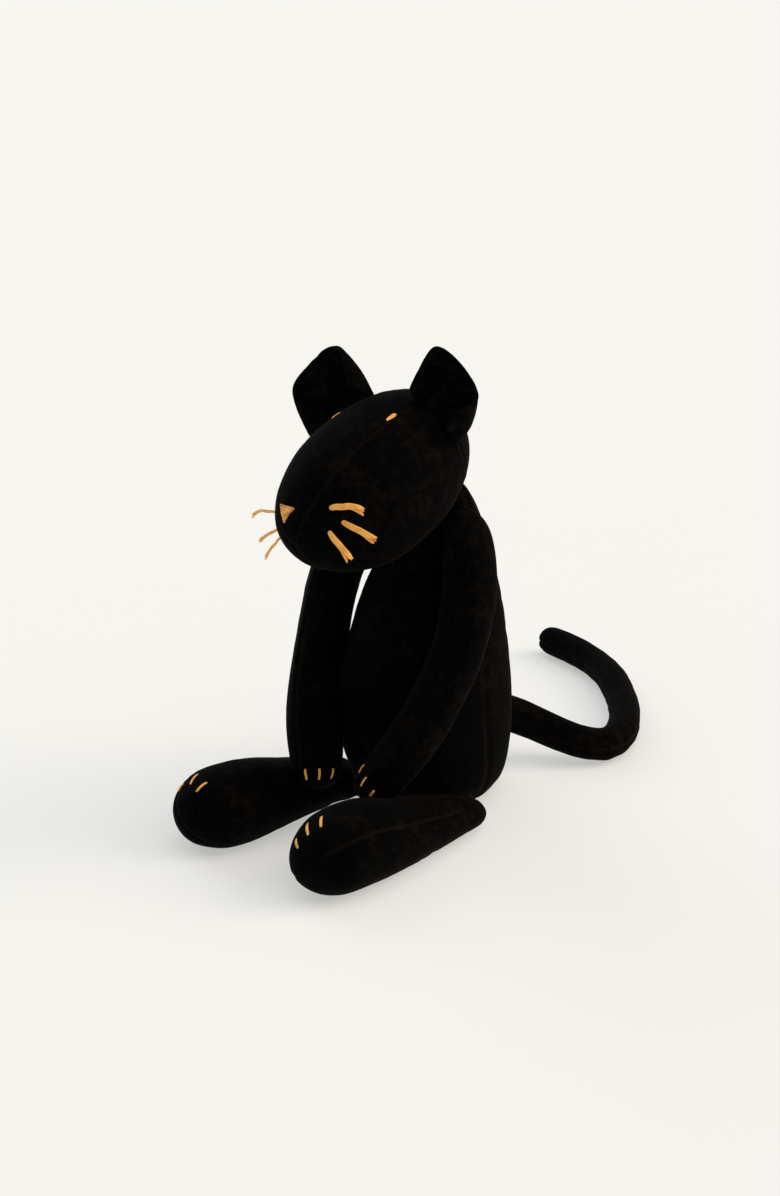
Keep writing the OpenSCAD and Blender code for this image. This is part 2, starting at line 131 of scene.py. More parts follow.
def add_blend(tree, a, b, share):
    """Share of a plus the rest of b."""
    part_a, part_b = add_math(tree, "MULTIPLY", a, share), add_math(tree, "MULTIPLY", b, 1 - share)
    return add_math(tree, "ADD", part_a, part_b)


def add_range(tree, value, low, high):
    """A soft step: 0 below low, 1 above high."""
    n = tree.nodes.new("ShaderNodeMapRange")
    n.interpolation_type = "SMOOTHSTEP"
    n.inputs["From Min"].default_value = low
    n.inputs["From Max"].default_value = high
    tree.links.new(value, n.inputs["Value"])
    return n.outputs["Result"]


def add_mix(tree, fac, a, b):
    n = tree.nodes.new("ShaderNodeMix")
    n.data_type = "RGBA"
    tree.links.new(fac, n.inputs["Factor"])
    for label, value in (("A", a), ("B", b)):
        socket = [s for s in n.inputs if s.name == label and s.type == "RGBA"][0]
        if isinstance(value, tuple):
            socket.default_value = (*value, 1)
        else:
            tree.links.new(value, socket)
    return [s for s in n.outputs if s.type == "RGBA"][0]


# %% Pile group: brushed patches for painted sheen, speckle and lint of a short-piled cloth
def make_pile_group():
    group, start, end = new_group(
        "pile",
        [
            ("Vector", "NodeSocketVector", None),
            ("Brush", "NodeSocketFloat", 0.5),
            ("Lint", "NodeSocketFloat", 0.2),
        ],
        [("Patches", "NodeSocketFloat"), ("Lint", "NodeSocketFloat"), ("Height", "NodeSocketFloat")],
    )
    v = start.outputs["Vector"]
    broad = add_noise(group, v, 28, 3, 0.6)
    streak = add_noise(group, v, 170, 3, 0.6)
    fine = add_noise(group, v, 900, 2, 0.6)
    tuft = add_noise(group, v, 2400, 1, 0.5)
    mixed = add_blend(group, broad, streak, 0.45)
    # Brushed patches, which the velvet fills with a painted sheen.
    patches = add_math(group, "MULTIPLY", add_range(group, mixed, 0.46, 0.66), start.outputs["Brush"], True)
    lint = add_math(group, "MULTIPLY", add_range(group, fine, 0.66, 0.76), start.outputs["Lint"], True)
    height = add_blend(group, tuft, fine, 0.5)
    for label, value in (("Patches", patches), ("Lint", lint), ("Height", height)):
        group.links.new(value, end.inputs[label])
    return group


pile_group = make_pile_group()
print("group", pile_group.name, "ready")


# %% Thread group: fibre speckle and ply ridges of twisted floss
def make_thread_group():
    group, start, end = new_group(
        "thread",
        [("Vector", "NodeSocketVector", None), ("Twist", "NodeSocketFloat", 900.0)],
        [("Shade", "NodeSocketFloat"), ("Height", "NodeSocketFloat")],
    )
    v = start.outputs["Vector"]
    fibre = add_noise(group, v, 2600, 2, 0.6)
    broad = add_noise(group, v, 240, 2, 0.5)
    wave = group.nodes.new("ShaderNodeTexWave")
    wave.wave_type = "BANDS"
    wave.bands_direction = "DIAGONAL"
    wave.inputs["Distortion"].default_value = 1.5
    group.links.new(v, wave.inputs["Vector"])
    group.links.new(start.outputs["Twist"], wave.inputs["Scale"])
    shade = add_blend(group, fibre, broad, 0.55)
    height = add_blend(group, wave.outputs["Fac"], fibre, 0.5)
    group.links.new(shade, end.inputs["Shade"])
    group.links.new(height, end.inputs["Height"])
    return group


thread_group = make_thread_group()
print("group", thread_group.name, "ready")

# %% [markdown]
# ## Cloth materials
# Velvet is almost black face on and lights up where its pile is seen from the side. The sheen socket of the
# Principled shader does that, and it is set as a plain number. The base colour changes a little from patch to
# patch, where a hand has brushed the pile, and that change is painted sheen. Along a seam a paler line is a
# painted highlight.

# %% Velvet materials
def add_material(name):
    m = bpy.data.materials.new(name)
    m.use_nodes = True
    tree = m.node_tree
    shader = tree.nodes["Principled BSDF"]
    coords = tree.nodes.new("ShaderNodeTexCoord").outputs["Object"]
    return m, tree, shader, coords


def add_bump(tree, height, strength, distance, shader):
    bump = tree.nodes.new("ShaderNodeBump")
    bump.inputs["Strength"].default_value = strength
    bump.inputs["Distance"].default_value = distance
    tree.links.new(height, bump.inputs["Height"])
    tree.links.new(bump.outputs["Normal"], shader.inputs["Normal"])


LINT_GAIN = 6
# How much brighter the painted seam highlight is than the painted sheen patches.
SEAM_HIGHLIGHT_GAIN = 1.5


def make_velvet(name, dark, sheen_patch_colour, sheen, tint, sheen_patch_amount=0.8, lint=0.5):
    m, tree, shader, coords = add_material(name)
    pile = tree.nodes.new("ShaderNodeGroup")
    pile.node_tree = pile_group
    pile.inputs["Brush"].default_value = sheen_patch_amount
    pile.inputs["Lint"].default_value = lint
    tree.links.new(coords, pile.inputs["Vector"])
    # Brushed patches: the sheen of the bent pile is painted into the base colour.
    colour = add_mix(tree, pile.outputs["Patches"], dark, sheen_patch_colour)
    colour = add_mix(tree, pile.outputs["Lint"], colour, tuple(LINT_GAIN * c for c in sheen_patch_colour))
    # Seam line: a painted highlight, where light catches the edge of the seam.
    seam = tree.nodes.new("ShaderNodeAttribute")
    seam.attribute_name = "seam"
    colour = add_mix(tree, seam.outputs["Fac"], colour, tuple(SEAM_HIGHLIGHT_GAIN * c for c in sheen_patch_colour))
    tree.links.new(colour, shader.inputs["Base Color"])
    shader.inputs["Roughness"].default_value = 0.95
    shader.inputs["Specular IOR Level"].default_value = 0.04
    shader.inputs["Sheen Weight"].default_value = sheen
    shader.inputs["Sheen Roughness"].default_value = 0.24
    shader.inputs["Sheen Tint"].default_value = (*tint, 1)
    add_bump(tree, pile.outputs["Height"], 0.5, 0.0006, shader)
    return m


velvet = make_velvet(
    "black_velvet", dark=(0.0001, 0.0001, 0.0001), sheen_patch_colour=(0.0042, 0.0026, 0.0017),
    sheen=0.014, tint=(0.98, 0.66, 0.48),
)
lining = make_velvet(
    "ear_lining", dark=(0.0003, 0.0002, 0.0003), sheen_patch_colour=(0.0080, 0.0052, 0.0044),
    sheen=0.050, tint=(0.98, 0.70, 0.58),
)
print("velvets", velvet.name, lining.name)


# %% Floss, stuffing and canvas materials
def make_floss(name, deep, bright, roughness, sheen):
    m, tree, shader, coords = add_material(name)
    thread = tree.nodes.new("ShaderNodeGroup")
    thread.node_tree = thread_group
    tree.links.new(coords, thread.inputs["Vector"])
    shade = add_range(tree, thread.outputs["Shade"], 0.36, 0.62)
    colour = add_mix(tree, shade, deep, bright)
    tree.links.new(colour, shader.inputs["Base Color"])
    shader.inputs["Roughness"].default_value = roughness
    shader.inputs["Specular IOR Level"].default_value = 0.35
    shader.inputs["Sheen Weight"].default_value = sheen
    shader.inputs["Sheen Roughness"].default_value = 0.4
    add_bump(tree, thread.outputs["Height"], 0.35, 0.0003, shader)
    return m


def make_fill(name, deep, bright, scale):
    m, tree, shader, coords = add_material(name)
    lumps = add_noise(tree, coords, scale, 4, 0.65)
    strands = add_noise(tree, coords, scale * 12, 2, 0.6)
    colour = add_mix(tree, add_range(tree, lumps, 0.35, 0.65), deep, bright)
    tree.links.new(colour, shader.inputs["Base Color"])
    shader.inputs["Roughness"].default_value = 0.9
    add_bump(tree, strands, 0.5, 0.0008, shader)
    return m


gold_floss = make_floss("gold_floss", (0.80, 0.33, 0.05), (1.0, 0.52, 0.11), 0.6, 0.08)
fibre_fill = make_fill("stuffing", (0.80, 0.78, 0.73), (0.94, 0.93, 0.90), 60)
canvas = make_fill("pellet_bag", (0.62, 0.56, 0.44), (0.78, 0.73, 0.61), 160)
print("materials", len(bpy.data.materials))

# %% [markdown]
# ## Shells of velvet
# Every limb of the real toy is a few flat panels sewn edge to edge, turned right side out and stuffed. The
# shape under the cloth is already known, so each shell starts as one closed skin wrapped round its panels. A
# cloth solver then blows it up from inside, as stuffing does, and after that the seams are drawn in.

# %% Shell tools: wrap the panels of one limb in a closed skin
def mesh_object(name, bm):
    mesh = bpy.data.meshes.new(name)
    bm.to_mesh(mesh)
    bm.free()
    obj = bpy.data.objects.new(name, mesh)
    scene.collection.objects.link(obj)
    return obj


def apply_modifiers(obj):
    graph = bpy.context.evaluated_depsgraph_get()
    mesh = bpy.data.meshes.new_from_object(obj.evaluated_get(graph), depsgraph=graph)
    obj.modifiers.clear()
    old = obj.data
    obj.data = mesh
    bpy.data.meshes.remove(old)


def relax(bm, verts):
    bmesh.ops.smooth_vert(bm, verts=verts, factor=0.5, use_axis_x=True, use_axis_y=True, use_axis_z=True)


def wrapped(name, parts, voxel, smooth=4):
    bm = bmesh.new()
    for part in parts:
        bm.from_mesh(nodes[part].data)
    bmesh.ops.remove_doubles(bm, verts=bm.verts, dist=0.00001)
    obj = mesh_object(name, bm)
    remesh = obj.modifiers.new("skin", "REMESH")
    remesh.mode = "VOXEL"
    remesh.voxel_size = voxel
    apply_modifiers(obj)
    bm = bmesh.new()
    bm.from_mesh(obj.data)
    islands = keep_largest(bm)
    for _ in range(smooth):
        relax(bm, bm.verts)
    bm.to_mesh(obj.data)
    bm.free()
    print(name, len(obj.data.polygons), "faces,", islands, "loose pieces dropped")
    return obj


def keep_largest(bm):
    """Drops every loose piece but the one with the most corners, and returns how many it dropped."""
    seen, groups = set(), []
    for v in bm.verts:
        if v in seen:
            continue
        stack, group = [v], []
        seen.add(v)
        while stack:
            w = stack.pop()
            group.append(w)
            for e in w.link_edges:
                x = e.other_vert(w)
                if x not in seen:
                    seen.add(x)
                    stack.append(x)
        groups.append(group)
    groups.sort(key=len)
    for group in groups[:-1]:
        bmesh.ops.delete(bm, geom=group, context="VERTS")
    return len(groups) - 1


# %% Swelling: pressure in the cloth solver stands for the stuffing
def corners(obj):
    co = np.empty(len(obj.data.vertices) * 3)
    obj.data.vertices.foreach_get("co", co)
    return co.reshape(-1, 3)


def set_corners(obj, co):
    obj.data.vertices.foreach_set("co", np.asarray(co, float).ravel())
    obj.data.update()


def swell(obj, cap, pressure=60.0, frames=12):
    """Lets the solver inflate obj, then keeps each point within cap of where it was."""
    before = corners(obj)
    cloth = obj.modifiers.new("stuffing", "CLOTH")
    s = cloth.settings
    s.quality = 5
    s.mass = 0.3
    s.tension_stiffness = s.compression_stiffness = s.shear_stiffness = 5
    s.bending_stiffness = 0.5
    s.use_pressure = True
    s.uniform_pressure_force = pressure
    s.effector_weights.gravity = 0
    cloth.collision_settings.use_collision = False
    cloth.point_cache.frame_start, cloth.point_cache.frame_end = 1, frames
    for f in range(1, frames + 1):
        scene.frame_set(f)
    graph = bpy.context.evaluated_depsgraph_get()
    live = obj.evaluated_get(graph)
    after = np.empty(len(before) * 3)
    live.data.vertices.foreach_get("co", after)
    after = after.reshape(-1, 3)
    obj.modifiers.clear()
    scene.frame_set(1)
    move = after - before
    size = np.linalg.norm(move, axis=1, keepdims=True)
    move *= np.minimum(1, cap / np.maximum(size, 1e-9))
    set_corners(obj, before + move)
    print("SWELL", obj.name, round(float(np.minimum(size, cap).mean() * 1000), 2), "mm on average")


def refined(obj):
    sub = obj.modifiers.new("finer", "SUBSURF")
    sub.levels = sub.render_levels = 1
    apply_modifiers(obj)


# %% [markdown]
# ## Seams
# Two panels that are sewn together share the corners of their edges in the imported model. Those shared edges
# are the seam, so the seam lines need no drawing of their own. The cloth is pulled in along them in a narrow
# valley, with small puckers where the stitches gather it.

# %% Seam lines from shared panel edges
def shared_edges(a, b):
    """Edges of panel a whose two ends are also corners of panel b, as pairs of points."""
    mesh_a, mesh_b = nodes[a].data, nodes[b].data
    tree = KDTree(len(mesh_b.vertices))
    for i, v in enumerate(mesh_b.vertices):
        tree.insert(v.co, i)
    tree.balance()
    shared = [tree.find(v.co)[2] < 0.00005 for v in mesh_a.vertices]
    found = {}
    for e in mesh_a.edges:
        i, j = e.vertices
        if shared[i] and shared[j]:
            p, q = mesh_a.vertices[i].co, mesh_a.vertices[j].co
            key = tuple(sorted((tuple(round(c, 5) for c in p), tuple(round(c, 5) for c in q))))
            found[key] = (p.copy(), q.copy())
    return list(found.values())


def distance_to(points, edges):
    """Distance of each point to the nearest edge, and the nearest place on that edge."""
    a = np.array([e[0] for e in edges])
    d = np.array([e[1] for e in edges]) - a
    length2 = np.maximum((d * d).sum(1), 1e-12)
    best = np.full(len(points), 1e9)
    place = np.zeros((len(points), 3))
    for k in range(len(a)):
        r = points - a[k]
        t = np.clip((r @ d[k]) / length2[k], 0, 1)
        near = a[k] + t[:, None] * d[k]
        dist = np.linalg.norm(points - near, axis=1)
        closer = dist < best
        best[closer] = dist[closer]
        place[closer] = near[closer]
    return best, place


def vertex_normals(obj):
    n = np.empty(len(obj.data.vertices) * 3)
    obj.data.vertices.foreach_get("normal", n)
    return n.reshape(-1, 3)


def sew(obj, edges, depth=1.3 * MM, width=2.2 * MM, pucker=0.25 * MM):
    """Pulls the skin in along the seam and writes a line along it, which the material paints as a highlight.
    """
    co, nor = corners(obj), vertex_normals(obj)
    dist, place = distance_to(co, edges)
    valley = np.exp(-((dist / width) ** 2))
    shoulder = np.exp(-(((dist - 2.4 * width) / (1.4 * width)) ** 2))
    wave = np.array([noise.noise(Vector(p) * 260) for p in place])
    gather = wave * np.exp(-((dist / (3.2 * width)) ** 2))
    out = -depth * valley + 0.25 * depth * shoulder + pucker * gather
    set_corners(obj, co + nor * out[:, None])
    seam_highlight_mask = obj.data.attributes.get("seam") or obj.data.attributes.new("seam", "FLOAT", "POINT")
    old = np.empty(len(co), np.float32)
    seam_highlight_mask.data.foreach_get("value", old)
    # The line along the seam, which the velvet paints as a highlight.
    line = 0.8 * np.exp(-((dist / (0.6 * width)) ** 2))
    seam_highlight_mask.data.foreach_set("value", np.maximum(old, line).astype(np.float32))
    print(obj.name, "sewn along", round(sum((p - q).length for p, q in edges) * 1000), "mm of edges")


# %% Slack: hand-stuffed cloth is never quite even
def slack(obj, size, scale, seed, floor=None):
    """Raises and lowers the skin by soft noise, and lays it flat where it would go under the floor."""
    co, nor = corners(obj), vertex_normals(obj)
    shift = Vector((seed * 7.3, seed * 3.1, seed * 1.7))
    lift = np.array([noise.noise(Vector(p) * scale + shift) for p in co])
    fold = np.array([noise.noise(Vector(p) * scale * 2.7 + shift) for p in co])
    co = co + nor * ((lift + 0.4 * fold) * size)[:, None]
    if floor is not None:
        low = co[:, 2] < floor
        co[low, 2] = floor
    set_corners(obj, co)


def plump(obj, centre, radius, height):
    """A fuller spot: pushes the skin out around centre, fading to nothing at about twice the radius."""
    co, nor = corners(obj), vertex_normals(obj)
    dist = np.linalg.norm(co - np.array(centre) * MM, axis=1)
    out = height * MM * np.exp(-((dist / (radius * MM)) ** 2))
    moved = co + nor * out[:, None]
    moved[:, 2] = np.maximum(moved[:, 2], np.minimum(co[:, 2], 0.001))
    set_corners(obj, moved)


def finish_cloth(obj, material):
    obj.data.materials.clear()
    obj.data.materials.append(material)
    for poly in obj.data.polygons:
        poly.use_smooth = True
    obj.data.update()


# %% [markdown]
# ## Torso
# The torso is a front and a back panel joined by a seam down each side, with a flat seat panel underneath. It
# is the fullest piece of the toy, and its weight makes the seat flat.

# %% Torso shell
BODY_VOXEL = 4 * MM
torso_panels = ["torso_front_panel", "torso_back_panel", "seat_panel"]
torso_seams = shared_edges("torso_front_panel", "torso_back_panel")
torso = wrapped("torso_cover", torso_panels + ["torso_stuffing", "pellet_bag"], BODY_VOXEL)
swell(torso, 2.5 * MM)
refined(torso)
plump(torso, (-32, -42, 62), 44, 5.0)
slack(torso, 0.7 * MM, 26, 1, floor=0.0)
sew(torso, torso_seams)
print("torso seams", len(torso_seams), "edges")
finish_cloth(torso, velvet)
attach(torso, "torso")
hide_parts(*torso_panels, "neck_thread")

# %% [markdown]
# ## Head
# The head is one long egg. Two cheeks meet a narrow strip that runs from the crown to the nose, and behind
# the ears the back of the head is cut as two more panels, so a seam crosses each cheek.

# %% Head shell
head_panels = [
    "head_top_gusset", "head_left_panel", "head_right_panel", "back_head_left_panel", "back_head_right_panel",
]
head_pairs = [
    ("head_top_gusset", "head_left_panel"), ("head_top_gusset", "head_right_panel"),
    ("head_left_panel", "head_right_panel"), ("back_head_left_panel", "head_left_panel"),
    ("back_head_right_panel", "head_right_panel"), ("back_head_left_panel", "back_head_right_panel"),
    ("back_head_left_panel", "head_top_gusset"), ("back_head_right_panel", "head_top_gusset"),
]
head_seams = [e for a, b in head_pairs for e in shared_edges(a, b)]
head = wrapped("head_cover", head_panels + ["head_stuffing"], BODY_VOXEL * 0.75)
swell(head, 1.5 * MM)
refined(head)
plump(head, (6, -30, 290), 34, 2.2)
plump(head, (-22, -116, 222), 26, 2.4)
slack(head, 0.5 * MM, 30, 2)
sew(head, head_seams, depth=0.8 * MM, width=1.3 * MM, pucker=0.15 * MM)
finish_cloth(head, velvet)
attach(head, "head")
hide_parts(*head_panels)

# %% [markdown]
# ## Arms, legs and tail
# Each limb is two long panels, so one seam runs down either edge.

# %% Limbs
def limb(name, panels, stuffing, voxel, seed, floor=None):
    """Wraps one limb's panels and stuffing in a skin, swells it, sews its seams and dresses it in velvet."""
    obj = wrapped(name, panels + [stuffing], voxel)
    swell(obj, 1.5 * MM)
    refined(obj)
    for spot in full_spots.get(name, []):
        plump(obj, *spot)
    slack(obj, 0.6 * MM, 34, seed, floor)
    sew(obj, shared_edges(*panels), depth=0.9 * MM, width=1.5 * MM)
    finish_cloth(obj, velvet)
    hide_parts(*panels)
    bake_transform(obj)


LIMB_VOXEL = 2.6 * MM
TAIL_VOXEL = 2.0 * MM
# Places that a hand has stuffed more or less: centre and radius and height, in millimetres.
full_spots = {
    "left_leg_cover": [((62, -24, 16), 15, 4.5), ((50, -172, 16), 32, 2.5), ((32, -120, 44), 26, 2.0),
                       ((74, -104, 26), 13, -0.9)],
    "right_leg_cover": [((-36, -150, 20), 40, 2.5)],
    "right_arm_cover": [((-32, -78, 70), 40, 2.0)],
}
for side, sx in (("left", 1), ("right", -1)):
    arm, leg = side + "_arm", side + "_leg"
    limb(
        arm + "_cover", [arm + "_outer_panel", arm + "_inner_panel"], arm + "_stuffing", LIMB_VOXEL,
        seed=3 + sx,
    )
    limb(
        leg + "_cover", [leg + "_upper_panel", leg + "_lower_panel"], leg + "_stuffing", LIMB_VOXEL,
        seed=6 + sx, floor=0.0,
    )
limb(
    "tail_cover", ["tail_upper_panel", "tail_lower_panel"], "tail_stuffing", TAIL_VOXEL,
    seed=9, floor=0.0,
)

# %% [markdown]
# ## Fillings
# Loose fibre fills each shell and a small bag of pellets weighs the seat down. They are out of sight, but
# they are real pieces, so they get lumpy skins of their own instead of the bare solids.

# %% Fillings
def filling(name, part, body, voxel, seed, material=fibre_fill, shrink=3.0 * MM):
    obj = wrapped(name, [part], voxel, smooth=2)
    co, nor = corners(obj), vertex_normals(obj)
    lumps = np.array([noise.noise(Vector(p) * 90 + Vector((seed, 0, 0))) for p in co])
    set_corners(obj, co - nor * (shrink + 0.9 * MM * (lumps + 0.6))[:, None])
    finish_cloth(obj, material)
    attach(obj, body)
    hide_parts(part)


filling("torso_fill", "torso_stuffing", "torso", 5 * MM, 11)
filling("head_fill", "head_stuffing", "head", 5 * MM, 12)
for side in ("left", "right"):
    filling(side + "_arm_fill", side + "_arm_stuffing", side + "_arm", 4 * MM, 13)
    filling(side + "_leg_fill", side + "_leg_stuffing", side + "_leg", 4 * MM, 14)
filling("tail_fill", "tail_stuffing", "tail", 3.2 * MM, 15)
filling("pellet_pouch", "pellet_bag", "torso", 2.5 * MM, 16, canvas, 0.5 * MM)

# %% [markdown]
# ## Ears
# An ear is a round flap of two cloths, a back and a lining, sewn together at the rim. At its seam it is
# pleated, so it stands up as a cup instead of lying flat. Each layer starts as a flat grid; its rows are
# rolled along a curve that is gentle in the middle and tight at the edge, and its foot is laid on the head.

# %% Ear shapes
def surface_of(obj):
    return BVHTree.FromObject(obj, bpy.context.evaluated_depsgraph_get())


head_skin = surface_of(head)
EAR_ACROSS, EAR_UP = 36, 20
EAR_CLOTH = 1.3 * MM


def rolled_edge(width, turn, power, steps=60):
    """Points (x, z) along a strip that is straight at first and curls through turn degrees by its end."""
    x, z, line = 0.0, 0.0, [(0.0, 0.0)]
    for k in range(steps):
        angle = math.radians(turn) * ((k + 0.5) / steps) ** power
        x += width / steps * math.cos(angle)
        z += width / steps * math.sin(angle)
        line.append((x, z))
    return line


def ear_layer(name, ear, offset, material, node):
    a, b, tip = (Vector(ear[k]) * MM for k in ("seam_start", "seam_end", "tip"))
    middle = a.lerp(b, ear["centre"])
    ex = (b - a).normalized()
    ey = (tip - middle).normalized()
    ez = ex.cross(ey).normalized() * ear["front"]
    tall = (tip - middle).length
    inner, outer = (rolled_edge(width * MM, turn, power) for width, turn, power in ear["rolls"])
    bm = bmesh.new()
    bmesh.ops.create_grid(bm, x_segments=EAR_ACROSS, y_segments=EAR_UP, size=1)
    for vert in bm.verts:
        u, v = vert.co.x, (vert.co.y + 1) / 2
        line = outer if u > 0 else inner
        x, z = line[round(abs(u) * (len(line) - 1))]
        x = x if u > 0 else -x
        square = ear["square"][1 if u > 0 else 0]
        height = tall * (0.1 + 0.9 * max(1 - abs(u) ** square, 0) ** 0.5) * (1 - ear["slope"] * u)
        near, normal, _, _ = head_skin.find_nearest(middle + ex * x)
        foot = near + normal * (-0.8 * MM) + ez * z * ear["pleat"]
        grow = 1 - (1 - v) ** 2
        widen = 1 + ear["widen"] * math.sin(math.pi * 0.8 * v)
        vert.co = (
            foot + ex * x * (widen - 1) + ey * height * v + ez * z * (1 - ear["pleat"]) * grow
            + ez * ear["nod"] * MM * (v ** 2) + normal * 0.6 * MM * math.sin(math.pi * v)
        )
    for _ in range(3):
        relax(bm, [v for v in bm.verts if not v.is_boundary])
    bmesh.ops.recalc_face_normals(bm, faces=bm.faces)
    bm.faces.ensure_lookup_table()
    centre_face = min(bm.faces, key=lambda f: (f.calc_center_median() - (middle + ey * tall / 2)).length)
    if centre_face.normal.dot(ez) < 0:
        bmesh.ops.reverse_faces(bm, faces=bm.faces)
    obj = mesh_object(name, bm)
    thick = obj.modifiers.new("cloth", "SOLIDIFY")
    thick.thickness = EAR_CLOTH
    thick.offset = offset
    thick.use_even_offset = True
    rim = obj.modifiers.new("rim", "SUBSURF")
    rim.levels = rim.render_levels = 1
    apply_modifiers(obj)
    slack(obj, 0.35 * MM, 70, ear["seed"])
    finish_cloth(obj, material)
    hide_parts(node)
    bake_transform(obj)
    print(name, "stands", round(tall * 1000, 1), "mm tall")


# Points are in millimetres. Each roll is the width of that half, its turn in degrees and how late it turns;
# square is how square the corner of each half is, inner half first. widen and nod open and tilt the cup.
ears = {
    "left": {
        "seam_start": (14, -29, 285), "seam_end": (42, -17, 258), "tip": (34, -13, 306), "centre": 0.42,
        "front": 1, "rolls": ((24, 80, 1.8), (46, 205, 1.7)), "square": (8.0, 2.6), "slope": 0.04,
        "pleat": 0.45, "widen": 0.20, "nod": 6, "seed": 21,
    },
    "right": {
        "seam_start": (-18, -34, 287), "seam_end": (-42, -41, 263), "tip": (-57, -37, 306.5), "centre": 0.5,
        "front": -1, "rolls": ((28, 140, 1.5), (37, 100, 2.3)), "square": (1.7, 7.0), "slope": -0.03,
        "pleat": 0.45, "widen": 0.22, "nod": 5, "seed": 22,
    },
}
for side, ear in ears.items():
    flap = side + "_ear"
    ear_layer(flap + "_back_cloth", ear, -1, velvet, flap + "_back")
    ear_layer(flap + "_lining_cloth", ear, 1, lining, flap + "_lining")

# %% [markdown]
# ## Embroidery
# The eyes, claws, nose and whiskers are six-strand floss. A stitch is a few strands side by side that come
# up out of the cloth and go back into it, so every stitch here is built from separate twisted strands. Their
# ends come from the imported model, and they are laid again on the swollen skin.

# %% Strands of floss
def strand_mesh(name, strands, node, body, sides=3):
    """strands is a list of lists of (point, radius). Each one becomes a thin round tube."""
    curve = bpy.data.curves.new(name, "CURVE")
    curve.dimensions = "3D"
    curve.bevel_depth = 1.0
    curve.bevel_resolution = sides
    curve.use_fill_caps = True
    for strand in strands:
        spline = curve.splines.new("POLY")
        spline.points.add(len(strand) - 1)
        for point, (co, radius) in zip(spline.points, strand):
            point.co = (*co, 1)
            point.radius = radius
    temp = bpy.data.objects.new(name + "_line", curve)
    scene.collection.objects.link(temp)
    graph = bpy.context.evaluated_depsgraph_get()
    mesh = bpy.data.meshes.new_from_object(temp.evaluated_get(graph), depsgraph=graph)
    bpy.data.objects.remove(temp)
    bpy.data.curves.remove(curve)
    obj = bpy.data.objects.new(name, mesh)
    scene.collection.objects.link(obj)
    finish_cloth(obj, gold_floss)
    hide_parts(node)
    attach(obj, body)
    print(name, len(strands), "strands")


def solid_ends(node):
    """For each separate solid of a node, its two furthest corners, highest first."""
    bm = bmesh.new()
    bm.from_mesh(nodes[node].data)
    bmesh.ops.remove_doubles(bm, verts=bm.verts, dist=0.00001)
    ends, left = [], set(bm.verts)
    while left:
        stack, group = [left.pop()], []
        while stack:
            w = stack.pop()
            group.append(w.co.copy())
            for e in w.link_edges:
                x = e.other_vert(w)
                if x in left:
                    left.remove(x)
                    stack.append(x)
        p, q = max(((a, b) for a in group for b in group), key=lambda ab: (ab[0] - ab[1]).length)
        ends.append((p, q) if p.z > q.z else (q, p))
    bm.free()
    return sorted(ends, key=lambda pq: tuple(pq[0]))


def stitch_strands(skin, p, q, width, strands, seed):
    """Strands side by side from p to q, raised in the middle and dipping into the cloth at both ends."""
    made = []
    for k in range(strands):
        across = k / (strands - 1) - 0.5
        jog = noise.noise(Vector((k * 1.7, seed * 2.3, 0.5))) * 0.35 * MM
        line = []
        for i in range(13):
            t = i / 12
            flat = p.lerp(q, t)
            near, normal, _, _ = skin.find_nearest(flat)
            side = (q - p).cross(normal).normalized()
            bulge = math.sin(math.pi * t) ** 0.6
            turn = 2.2 * t + k * 1.9
            off = across * width * (0.55 + 0.45 * bulge) + 0.12 * width * math.sin(turn)
            lift = -1.1 * MM * (1 - bulge) + (0.55 + 0.18 * math.cos(turn)) * width * 0.45 * bulge
            place = near + side * off + normal * lift + (q - p).normalized() * jog
            line.append((place, 0.24 * width * (0.55 + 0.45 * bulge)))
        made.append(line)
    return made


def embroider(name, node, skin, body, width):
    """Three-strand stitches along the solids of a node, a little longer than the solids."""
    lines = []
    for k, (p, q) in enumerate(solid_ends(node)):
        reach = (p - q) * 0.13
        lines += stitch_strands(skin, p + reach, q - reach, width, 3, seed=k + len(name))
    strand_mesh(name, lines, node, body)


# %% Claws: three short stitches on each paw and each foot
for side in ("left", "right"):
    for end, body, width in (("paw", side + "_arm", 1.25 * MM), ("foot", side + "_leg", 1.4 * MM)):
        skin = surface_of(bpy.data.objects[body + "_cover"])
        embroider(side + "_" + end + "_stitches", side + "_" + end + "_claws", skin, body, width)


# %% Eyes: stitches that share one end, so they open into a narrow wedge
def wedge_eye(side, spread, turn, shift, strands=7):
    """spread is the width of the open end; turn is in degrees on the skin and shift in millimetres."""
    (p, q), = solid_ends(side + "_eye_stitch")
    middle, normal, _, _ = head_skin.find_nearest((p + q) / 2 + Vector(shift) * MM)
    turned = Matrix.Rotation(math.radians(turn), 3, normal)
    p, q = (middle + turned @ (e - (p + q) / 2) for e in (p, q))
    across = (p - q).cross(normal).normalized()
    lines = []
    for k in range(strands):
        f = k / (strands - 1) - 0.5
        high = p + (p - q) * (0.26 - 0.8 * f * f) + across * f * spread
        low = q + (q - p) * 0.12 + across * f * spread * 0.12
        lines += stitch_strands(head_skin, high, low, 0.8 * MM, 2, seed=60 + k)
    strand_mesh(side + "_eye_floss", lines, side + "_eye_stitch", "head")


wedge_eye("left", 1.9 * MM, turn=-20, shift=(0, 0, 0))
wedge_eye("right", 1.9 * MM, turn=0, shift=(4.0, -2.0, 0.5))


# %% Nose: satin stitches laid side by side, each one shorter than the last
def satin_nose(left, right, bottom, rows=12, width=1.15 * MM):
    lines = []
    for k in range(rows):
        t = k / (rows - 1) * 0.93
        p, q = Vector(left).lerp(Vector(bottom), t), Vector(right).lerp(Vector(bottom), t)
        lines += stitch_strands(head_skin, p * MM, q * MM, width, 2, seed=40 + k)
    strand_mesh("nose_floss", lines, "nose_embroidery", "head")


satin_nose((-19.5, -117, 227.6), (-0.5, -121, 229.6), (-10.5, -122.5, 220.5))


